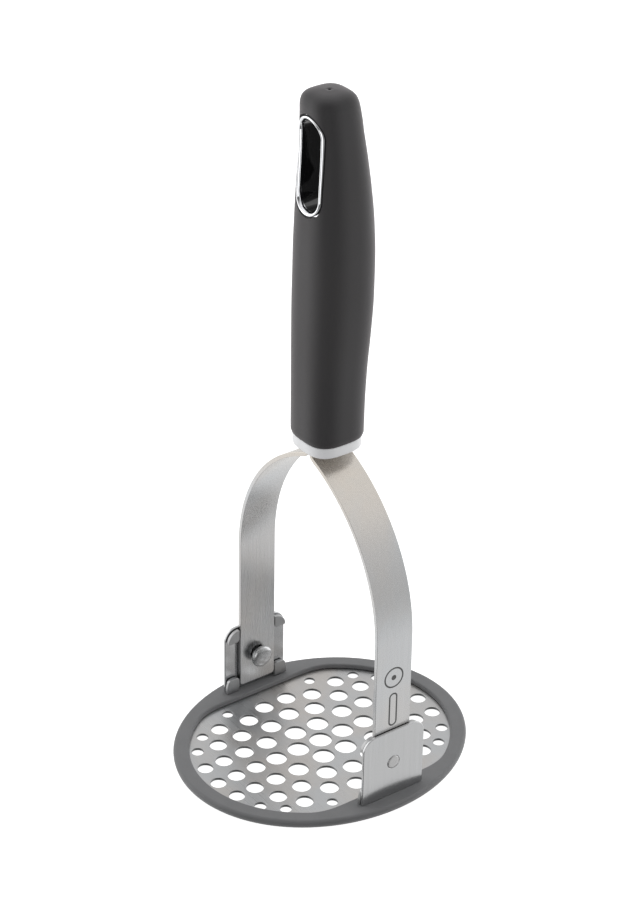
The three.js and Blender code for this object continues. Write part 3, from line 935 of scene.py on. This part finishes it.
def grip_piece():
    """The soft grip: one smooth loft with a dimple on top, the hanging slot and the core's cavity."""
    low, high, crown = GRIP_LOW.z, GRIP_HIGH.z, GRIP_CROWN
    runs, turns = 120, 24
    heights = [low + (high - crown - low) * i / runs for i in range(runs)]
    heights += [high - crown + crown * math.sin(math.pi / 2 * i / turns) for i in range(turns + 1)]
    rings = [square_ring(*grip_section(z), z) for z in heights]
    top_shift = GRIP_SECTIONS[-1][2] * MM
    rings += [square_ring(half * MM, top_shift, high - deep * MM) for half, deep in TOP_DIMPLE]
    made = skin("soft_grip", rings)
    opening = prism("opening", hang_line(HANG_RADIUS + HANG_MOUTH_GAP), "Y", -30 * MM, 30 * MM)
    cut(made, opening)
    half = CORE_HIGH.x + 0.1 * MM
    cavity = [(x, y) for x, y, _ in square_ring(half, 0, 0, 64)]
    cut(made, prism("cavity", cavity, "Z", low - MM, CORE_HIGH.z + GAP))
    return smooth(made, 32)


def slot_ring(name, profile, sign):
    """Sweeps a profile round the hanging slot: (distance out from its inner wall, height above the grip)."""
    lines = [hang_line(HANG_RADIUS - HANG_WALL + out * MM) for out, _ in profile]
    rings = []
    for i in range(len(lines[0])):
        ring = []
        for line, (_, proud) in zip(lines, profile):
            x, z = line[i]
            ring.append((x, grip_surface_y(x, z, sign) + sign * proud * MM, z))
        rings.append(ring)
    return smooth(skin(name, rings, loop=True), 40)


def bezel_piece(end):
    """Chromed ring at one mouth of the hanging slot: a bead inside a narrow groove, rolling into the slot."""
    deep = -HANG_BEZEL_DEPTH / MM
    profile = [(BEZEL_PROFILE[0][0], deep), *BEZEL_PROFILE, (BEZEL_PROFILE[-1][0], deep)]
    return slot_ring(f"bezel_{end}", profile, ENDS[end])


def liner_piece():
    """Black tube through the grip, between the two bezels."""
    deep = HANG_BEZEL_DEPTH + 0.1 * MM
    outer, inner = hang_line(HANG_RADIUS), hang_line(HANG_RADIUS - HANG_WALL + 0.05 * MM)
    rings = []
    for (xo, zo), (xi, zi) in zip(outer, inner):
        ring = [(xo, grip_surface_y(xo, zo, sign) - sign * deep, zo) for sign in (-1, 1)]
        ring += [(xi, grip_surface_y(xi, zi, sign) - sign * deep, zi) for sign in (1, -1)]
        rings.append(ring)
    return smooth(skin("slot_liner", rings, loop=True), 50)


def collar_piece():
    """Pale ring under the grip, round at its lower edge, with a slot for the two tangs."""
    low, high, half = COLLAR_LOW.z, COLLAR_HIGH.z, COLLAR_HIGH.x
    shift = (COLLAR_HIGH.y + COLLAR_LOW.y) / 2
    rounding = COLLAR_ROUNDING
    levels = []
    for i in range(9):
        t = math.radians(90 * i / 8)
        levels.append((low + rounding * (1 - math.sin(t)), half - rounding * (1 - math.cos(t))))
    levels = levels[::-1] + [(high - 0.25 * MM, half), (high - 0.06 * MM, half - 0.08 * MM)]
    levels.append((high, half - 0.25 * MM))
    made = skin("collar_ring", [square_ring(h, shift, z) for z, h in levels])
    x, y = TANG_MID_X + STRIP_THICK / 2 + 0.4 * MM, LEG_HIGH.y + GAP
    slot = [(-x, -y), (x, -y), (x, y), (-x, y)]
    return smooth(cut(made, prism("slot", slot, "Z", low - MM, high + MM)), 40)


# ---------- assembly ----------
def build_head():
    """Sheet, rim, and at each side a bracket with its four guides and its pin."""
    sheet = place(sheet_piece(), "mashing_head", SHEET_STEEL, "sheet_steel", "mashing_plate")
    # painted shade on the hole walls
    paint_shade_on_hole_walls(sheet)
    place(rim_piece(), "mashing_head", SILICONE, "silicone", "silicone_rim")
    for side in SIDES:
        bracket = on_side(bracket_piece(), side)
        bracket.name = f"{side}_bracket"
        node = f"{side}_bracket_plate"
        place(bracket, "mashing_head", BRACKET_STEEL, "bracket_steel", node)
        for end in ENDS:
            for kind, build in (("cap", guide_cap_piece), ("foot", guide_foot_piece)):
                guide = on_side(build(), side)
                if end == "front":
                    mirrored(guide, Vector((0, 1, 0)))
                guide.name = f"{side}_{kind}_{end}"
                node = f"{side}_guide_{kind}_{end}"
                # the guides' darker steel is painted shade
                place(guide, "mashing_head", GUIDE_SHADED_STEEL, "bracket_steel", node)
        pin = on_side(pin_piece(), side)
        pin.name = f"{side}_pin"
        place(pin, "mashing_head", PIN_STEEL, "pin_steel", f"{side}_pivot_pin")


def build_legs():
    """The two spring strips, and the mark on the right one."""
    for side in SIDES:
        leg = on_side(leg_piece(), side)
        leg.name = f"{side}_strip_leg"
        place(leg, f"{side}_leg_spring", STRIP_STEEL, "strip_steel", f"{side}_leg")
    for mark in etched_marks():
        place(mark, "right_leg_spring", ETCHING, "strip_steel")


def build_handle():
    """Grip, slot and collar. The core and rivets inside keep their CAD shape."""
    body = "handle_assembly"
    place(grip_piece(), body, SOFT_TOUCH, "soft_grip", "grip_shell")
    place(liner_piece(), body, GLOSS_BLACK, "liner_black", "hang_slot_liner")
    for end in ENDS:
        place(bezel_piece(end), body, CHROME, "bezel_chrome", f"hang_bezel_{end}")
    place(collar_piece(), body, COLLAR_FINISH, "pale_plastic", "collar")
    hidden = {
        "handle_core": CORE_PLASTIC,
        "tang_rivet_lower": PIN_STEEL,
        "tang_rivet_upper": PIN_STEEL,
    }
    for node, material in hidden.items():
        data = frame["nodes"][node].data
        data.materials.clear()
        data.materials.append(material)


# ---------- studio ----------
STUDIO_MIDDLE = (0, 0, 0.12)
SOFTBOXES = [
    # name, place, size in metres, watts
    ("left_softbox", (-0.9, -0.75, 0.35), (1.3, 1.5), 5),
    ("back_softbox", (0.15, 1.1, 0.25), (1.3, 1.3), 5),
    ("front_fill", (0.8, -0.62, 0.1), (0.8, 0.8), 2.5),
]
FLOOR_REACH = 6
FLOOR_DROP = 0.05 * MM
CAMERA_TARGET = (0, 0, 0.13)
CAMERA_DISTANCE = 0.9665
CAMERA_TURN, CAMERA_RISE, CAMERA_ROLL = 52.97, 30.01, 1.087
CAMERA_LENS, CAMERA_SENSOR = 113.5, 36
CAMERA_SHIFT = (-0.007, -0.0261)
DARK_SIDE = (0.78, -0.62, -0.1)
# (cosine of the angle to the dark side, or to straight up, and brightness)
DARK_STOPS = [(-1, 1.0), (-0.1, 0.97), (0.35, 0.8), (0.6, 0.45), (0.78, 0.14), (1, 0.1)]
HEIGHT_STOPS = [(-1, 0.95), (-0.5, 1.1), (-0.12, 0.85), (0.4, 0.9), (1, 1.0)]


def studio_floor():
    """A light table: nearly white by itself, so the masher hardly shades it."""
    mesh = bpy.data.meshes.new("floor")
    reach = FLOOR_REACH
    corners = [(-reach, -reach, 0), (reach, -reach, 0), (reach, reach, 0), (-reach, reach, 0)]
    mesh.from_pydata(corners, [], [(0, 1, 2, 3)])
    floor = new_object("floor", mesh)
    floor.location.z = -FLOOR_DROP
    nodes = Nodes("pale_floor", Roughness=0.9)
    nodes.shader.inputs["Base Color"].default_value = (0.5, 0.5, 0.5, 1)
    nodes.shader.inputs["Emission Color"].default_value = (1, 1, 1, 1)
    nodes.shader.inputs["Emission Strength"].default_value = 0.92
    mesh.materials.append(nodes.material)
    floor.visible_glossy = False
    floor.visible_diffuse = False


def softbox(name, place_at, size, watts):
    """A rectangular lamp that faces the middle of the masher."""
    light = bpy.data.lights.new(name, "AREA")
    light.shape = "RECTANGLE"
    light.size, light.size_y = size
    light.energy = watts
    lamp = new_object(name, light)
    lamp.location = place_at
    lamp.rotation_mode = "QUATERNION"
    lamp.rotation_quaternion = (Vector(STUDIO_MIDDLE) - Vector(place_at)).to_track_quat("-Z", "Y")


def level_ramp(tree, direction, toward, stops):
    """Brightness by how far a direction leans towards another one: stops are (cosine, level)."""
    lean = tree.nodes.new("ShaderNodeVectorMath")
    lean.operation = "DOT_PRODUCT"
    lean.inputs[1].default_value = Vector(toward).normalized()
    tree.links.new(direction, lean.inputs[0])
    share = tree.nodes.new("ShaderNodeMapRange")
    share.inputs["From Min"].default_value = -1
    share.inputs["From Max"].default_value = 1
    tree.links.new(lean.outputs["Value"], share.inputs["Value"])
    ramp = tree.nodes.new("ShaderNodeValToRGB")
    ramp.color_ramp.interpolation = "EASE"
    while len(ramp.color_ramp.elements) < len(stops):
        ramp.color_ramp.elements.new(0.5)
    for element, (cosine, level) in zip(ramp.color_ramp.elements, stops):
        element.position = (cosine + 1) / 2
        element.color = (level, level, level, 1)
    tree.links.new(share.outputs["Result"], ramp.inputs["Fac"])
    return ramp.outputs["Color"]


def studio_world():
    """A pale room: dark on the right front, where the camera stands, and dimmest round the horizon."""
    world = bpy.data.worlds.new("studio")
    bpy.context.scene.world = world
    world.use_nodes = True
    tree = world.node_tree
    background = tree.nodes["Background"]
    direction = tree.nodes.new("ShaderNodeTexCoord").outputs["Generated"]
    side = level_ramp(tree, direction, DARK_SIDE, DARK_STOPS)
    height = level_ramp(tree, direction, (0, 0, 1), HEIGHT_STOPS)
    product = tree.nodes.new("ShaderNodeMix")
    product.data_type = "RGBA"
    product.blend_type = "MULTIPLY"
    colours = [i for i in product.inputs if i.type == "RGBA"]
    product.inputs["Factor"].default_value = 1
    tree.links.new(side, colours[0])
    tree.links.new(height, colours[1])
    result = [o for o in product.outputs if o.type == "RGBA"][0]
    tree.links.new(result, background.inputs["Color"])
    background.inputs["Strength"].default_value = 1.0


def camera():
    """The picture is taken from front right, 30 degrees up, with a long lens."""
    turn, rise, roll = map(math.radians, (CAMERA_TURN, CAMERA_RISE, CAMERA_ROLL))
    back = Vector(
        (math.sin(turn) * math.cos(rise), -math.cos(turn) * math.cos(rise), math.sin(rise))
    )
    data = bpy.data.cameras.new("camera")
    data.sensor_width, data.lens = CAMERA_SENSOR, CAMERA_LENS
    data.shift_x, data.shift_y = CAMERA_SHIFT
    data.clip_start, data.clip_end = 0.01, 50
    made = new_object("camera", data)
    made.location = Vector(CAMERA_TARGET) + back * CAMERA_DISTANCE
    made.rotation_mode = "QUATERNION"
    level = (-back).to_track_quat("-Z", "Y")
    made.rotation_quaternion = level @ Matrix.Rotation(roll, 3, "Z").to_quaternion()
    bpy.context.scene.camera = made


build_head()
build_legs()
build_handle()
studio_floor()
studio_world()
for box in SOFTBOXES:
    softbox(*box)
camera()
bpy.context.scene.view_settings.view_transform = "Standard"
